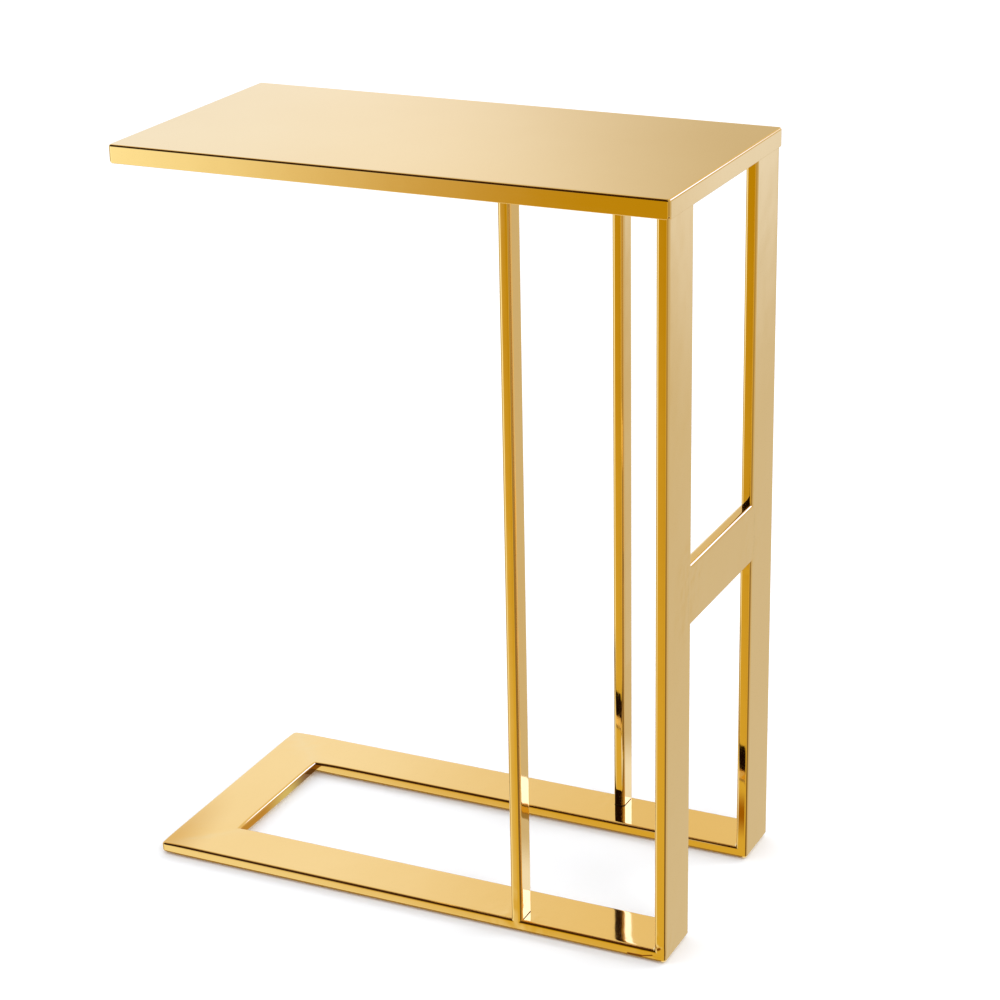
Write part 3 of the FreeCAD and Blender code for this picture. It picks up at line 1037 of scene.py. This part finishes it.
def trayTree(values):
    tree, given = startTree("foldedSheet", values)

    def stored(shape, name, value):
        options = {"data_type": "FLOAT_VECTOR", "domain": "POINT"}
        return geometry(tree, "StoreNamedAttribute", {0: shape, 2: name, 3: value}, options)

    def named(name):
        return geometry(tree, "InputNamedAttribute", {0: name}, {"data_type": "FLOAT_VECTOR"})

    bend, lip, sheet, height = [given[k] for k in ("Bend radius", "Lip radius", "Sheet", "Height")]
    corner, base = given["Corner radius"], given["Base"]
    # four arcs: over the bend, round the lip twice, back up under the bend
    perArc = plus(given["Bend steps"], 1.0)
    index = geometry(tree, "InputIndex")
    arc = calc("FLOOR", calc("DIVIDE", index, perArc))
    step = calc("DIVIDE", minus(index, times(arc, perArc)), given["Bend steps"])

    def byArc(*choices):
        node = addNode(tree, "GeometryNodeIndexSwitch", options={"data_type": "FLOAT"})
        while len(node.index_switch_items) < len(choices):
            node.index_switch_items.new()
        feed(node, {0: arc, **dict(enumerate(choices, 1))})
        return node.outputs[0]

    shoulder = minus(height, bend)
    centreIn = byArc(bend, lip, minus(sheet, lip), bend)
    centreUp = byArc(shoulder, lip, lip, shoulder)
    radius = byArc(bend, lip, lip, minus(sheet, bend))
    turned = calc("RADIANS", byArc(90.0, 0.0, -90.0, -180.0))
    angle = plus(turned, times(step, calc("RADIANS", byArc(-90.0, -90.0, -90.0, 90.0))))
    cosine, sine = calc("COSINE", angle), calc("SINE", angle)
    drawn = vector(minus(centreIn, times(radius, cosine)), plus(centreUp, times(radius, sine)))
    line = geometry(tree, "MeshLine", {0: times(perArc, 4.0)})
    line = stored(line, "profile", drawn)
    line = stored(line, "lean", vector(cosine, sine))
    line = geometry(tree, "SetPosition", {0: line, 2: drawn})
    profile = geometry(tree, "MeshToCurve", {0: line})
    # the plan: a rounded rectangle whose points know their corner centre and the way out
    plan = geometry(tree, "CurvePrimitiveQuadrilateral", {0: given["Length"], 1: given["Depth"]})
    plan = geometry(tree, "FilletCurve", {0: plan, 1: given["Corner steps"], 2: corner}, {"mode": "POLY"})
    place = geometry(tree, "InputPosition")
    half = scaled(vector(given["Length"], given["Depth"]), 0.5)
    core = vectorCalc("SUBTRACT", half, vector(corner, corner))
    beyond = vectorCalc("SUBTRACT", vectorCalc("ABSOLUTE", place), core)
    beyond = vectorCalc("MAXIMUM", beyond, (0.0, 0.0, 0.0))
    outward = vectorCalc("NORMALIZE", vectorCalc("MULTIPLY", beyond, vectorCalc("SIGN", place)))
    plan = stored(plan, "outward", outward)
    plan = stored(plan, "centre", vectorCalc("SUBTRACT", place, scaled(named("outward"), corner)))
    skirt = geometry(tree, "CurveToMesh", {0: plan, 1: profile})
    centre, out, lean, bent = named("centre"), named("outward"), parts(named("lean")), parts(named("profile"))
    diagonal = times(calc("ABSOLUTE", times(parts(out)[0], parts(out)[1])), 2.0)
    ease = times(given["Corner ease"], calc("POWER", diagonal, given["Ease falloff"]))
    lower = calc("LESS_THAN", bent[1], times(height, 0.5))
    up = plus(plus(base, bent[1]), times(ease, lower))
    flat = vectorCalc("ADD", centre, scaled(out, minus(corner, bent[0])))
    skirt = geometry(tree, "SetPosition", {0: skirt, 2: vectorCalc("ADD", flat, vector(z=up))})
    normal = vectorCalc("ADD", scaled(out, lean[0]), vector(z=lean[1]))
    skirt = stored(skirt, "trueNormal", normal)
    # the flat sheets
    inner = vectorCalc("ADD", centre, scaled(out, minus(corner, bend)))
    sheets = []
    for level, facing in ((height, 1.0), (minus(height, sheet), -1.0)):
        lift = vector(z=plus(base, level))
        moved = geometry(tree, "SetPosition", {0: plan, 2: vectorCalc("ADD", inner, lift)})
        filled = geometry(tree, "FillCurve", {0: moved}, {"mode": "NGONS"})
        filled = geometry(tree, "SetPosition", {0: filled, 3: lift})
        sheets.append(stored(filled, "trueNormal", (0.0, 0.0, facing)))
    whole = geometry(tree, "MergeByDistance", {0: joined(tree, skirt, *sheets), 2: given["Merge reach"]})
    endTree(tree, whole, given["Finish"])
    return tree


def makeTray(values):
    piece = growMesh("foldedTray", trayTree(values), values)
    tidyMesh(piece)
    mesh = piece.data
    exact = [Vector(point.vector) for point in mesh.attributes["trueNormal"].data]
    for name in ("profile", "lean", "outward", "centre", "trueNormal"):
        if name in mesh.attributes:
            mesh.attributes.remove(mesh.attributes[name])
    mesh.normals_split_custom_set_from_vertices(exact)
    dress(piece, ["top_tray"])


makeTray(tray)
print("tray folded")


# Small hardware under the tray and under the feet, grown from two shapes: a ring and a disc with rounded rims

roundSteps = {"head": 40, "shank": 28, "ring": 40, "glide": 56, "stem": 32}
rimShare = 0.2    # a ring's rim radius beside its thinner side


def midway(first, second):
    return times(plus(first, second), 0.5)


def ringShape(tree, outer, inner, thickness, centreUp, steps):
    width = minus(outer, inner)
    rim = times(calc("MINIMUM", width, thickness), rimShare)
    profile = geometry(tree, "CurvePrimitiveQuadrilateral", {0: width, 1: thickness})
    profile = geometry(tree, "FilletCurve", {0: profile, 1: 3, 2: rim}, {"mode": "POLY"})
    path = geometry(tree, "CurvePrimitiveCircle", {0: steps, 4: midway(outer, inner)})
    ring = geometry(tree, "CurveToMesh", {0: path, 1: profile})
    return geometry(tree, "Transform", {0: ring, "Translation": vector(z=centreUp)})


def discShape(tree, radius, thickness, edge, centreUp, steps):
    # a cylinder two high whose rows are bent into rounded rims
    sizes = {"Vertices": steps, "Side Segments": 12, "Radius": 1.0, "Depth": 2.0}
    plain = geometry(tree, "MeshCylinder", sizes)
    x, y, z = parts(geometry(tree, "InputPosition"))
    angle = times(z, math.pi / 2)
    straight = minus(times(thickness, 0.5), edge)
    height = plus(times(edge, calc("SINE", angle)), times(calc("SIGN", z), straight))
    reach = plus(radius, times(edge, minus(calc("COSINE", angle), 1.0)))
    bent = vector(times(x, reach), times(y, reach), plus(height, centreUp))
    return geometry(tree, "SetPosition", {0: plain, 2: bent})


def scattered(tree, shape, given):
    # the shape at each place of the grid, turned a little differently each time
    grid = {"Size " + axis: given["Span " + axis] for axis in "XY"}
    grid.update({"Vertices " + axis: given["Count " + axis] for axis in "XY"})
    places = geometry(tree, "MeshGrid", grid)
    limits = {3: math.tau, "Seed": given["Seed"]}
    turn = addNode(tree, "FunctionNodeRandomValue", limits, {"data_type": "FLOAT"})
    spin = vector(z=turn.outputs[1])
    return geometry(tree, "InstanceOnPoints", {0: places, 2: shape, "Rotation": spin})


screwGrid = {"Span X": 394.0 * mm, "Span Y": 209.0 * mm, "Count X": 4, "Count Y": 2, "Seed": 7}

trayScrews = {
    **screwGrid,
    "Head radius": 3.5 * mm,
    "Head height": 2.2 * mm,
    "Head edge": 0.7 * mm,
    "Head base": 611.3 * mm,
    "Socket radius": 1.4 * mm,
    "Socket depth": 1.3 * mm,
    "Shank radius": 2.0 * mm,
    "Shank edge": 0.3 * mm,
    "Shank length": 5.0 * mm,
    "Finish": zincFinish,
}


def screwTree(values):
    tree, given = startTree("socketScrew", values)
    base, height, length = [given[k] for k in ("Head base", "Head height", "Shank length")]
    middle = plus(base, times(height, 0.5))
    head = discShape(tree, given["Head radius"], height, given["Head edge"], middle, roundSteps["head"])
    cut = {"Vertices": 6, "Radius": given["Socket radius"], "Depth": times(given["Socket depth"], 2.0)}
    socket = geometry(tree, "MeshCylinder", cut)
    socket = geometry(tree, "Transform", {0: socket, "Translation": vector(z=base)})
    head = geometry(tree, "MeshBoolean", {0: head, 1: socket}, {"operation": "DIFFERENCE"})
    middle = plus(plus(base, height), times(length, 0.5))
    shank = discShape(tree, given["Shank radius"], length, given["Shank edge"], middle, roundSteps["shank"])
    endTree(tree, scattered(tree, joined(tree, head, shank), given), given["Finish"])
    return tree


rings = {**screwGrid, "Outer radius": 4.0 * mm, "Finish": zincFinish}
trayWashers = {**rings, "Hole radius": 2.15 * mm, "Thickness": 0.8 * mm, "Base": 613.5 * mm}
trayBosses = {**rings, "Hole radius": 2.05 * mm, "Thickness": 3.0 * mm, "Base": 615.8 * mm}


def ringTree(values):
    tree, given = startTree("ringRow", values)
    thick = given["Thickness"]
    middle = plus(given["Base"], times(thick, 0.5))
    ring = ringShape(tree, given["Outer radius"], given["Hole radius"], thick, middle, roundSteps["ring"])
    endTree(tree, scattered(tree, ring, given), given["Finish"])
    return tree


glideSettings = {
    "Radius": 9.0 * mm,
    "Thickness": 1.5 * mm,
    "Rim": 0.45 * mm,
    "Sole radius": 7.6 * mm,
    "Sole hole": 4.2 * mm,
    "Sole step": 0.3 * mm,
    "Stem radius": 3.0 * mm,
    "Stem top": 6.5 * mm,
    "Finish": nylonFinish,
}


def glideTree(values):
    tree, given = startTree("pushInGlide", {**values, "Place": (0.0, 0.0, 0.0)})
    step, thick, top, rim = [given[k] for k in ("Sole step", "Thickness", "Stem top", "Rim")]
    middle, steps = midway(thick, step), roundSteps["glide"]
    body = discShape(tree, given["Radius"], minus(thick, step), rim, middle, steps)
    sole = ringShape(tree, given["Sole radius"], given["Sole hole"], times(step, 2.0), step, steps)
    stem = minus(top, middle)
    peg = discShape(tree, given["Stem radius"], stem, rim, midway(top, middle), roundSteps["stem"])
    shape = joined(tree, body, sole, peg)
    shape = geometry(tree, "Transform", {0: shape, "Translation": given["Place"]})
    endTree(tree, shape, given["Finish"])
    return tree


def makeHardware():
    rows = [
        ("trayScrews", screwTree(trayScrews), trayScrews, "tray_screws", "zinc_steel"),
        ("trayWashers", ringTree(trayWashers), trayWashers, "tray_washers", "zinc_steel"),
        ("trayBosses", ringTree(trayBosses), trayBosses, "tray_bosses", "zinc_steel"),
    ]
    glides = glideTree(glideSettings)
    for node in [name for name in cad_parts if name.startswith("glide_")]:
        low, high = [Vector(corner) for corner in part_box(node)]
        centre = (low + high) / 2
        name = "glide" + "".join(word.capitalize() for word in node.split("_")[1:])
        values = {**glideSettings, "Place": (centre.x, centre.y, low.z)}
        rows.append((name, glides, values, node, "glide_nylon"))
    for name, tree, values, node, slot in rows:
        piece = growMesh(name, tree, values)
        tidyMesh(piece, sharpAngle=35)
        dress(piece, [node])
    print("hardware grown:", len(rows), "pieces")


makeHardware()

# The hidden rails under the tray and the board between them keep their CAD shape

for name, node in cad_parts.items():
    if name.startswith("top_rail") or name == "liner_board":
        lengthways = goldFor["y" if name[9:] in ("left", "right", "middle") else "x"]
        node.data.materials.clear()
        node.data.materials.append(boardFinish if name == "liner_board" else lengthways)
print("carried-over parts painted")
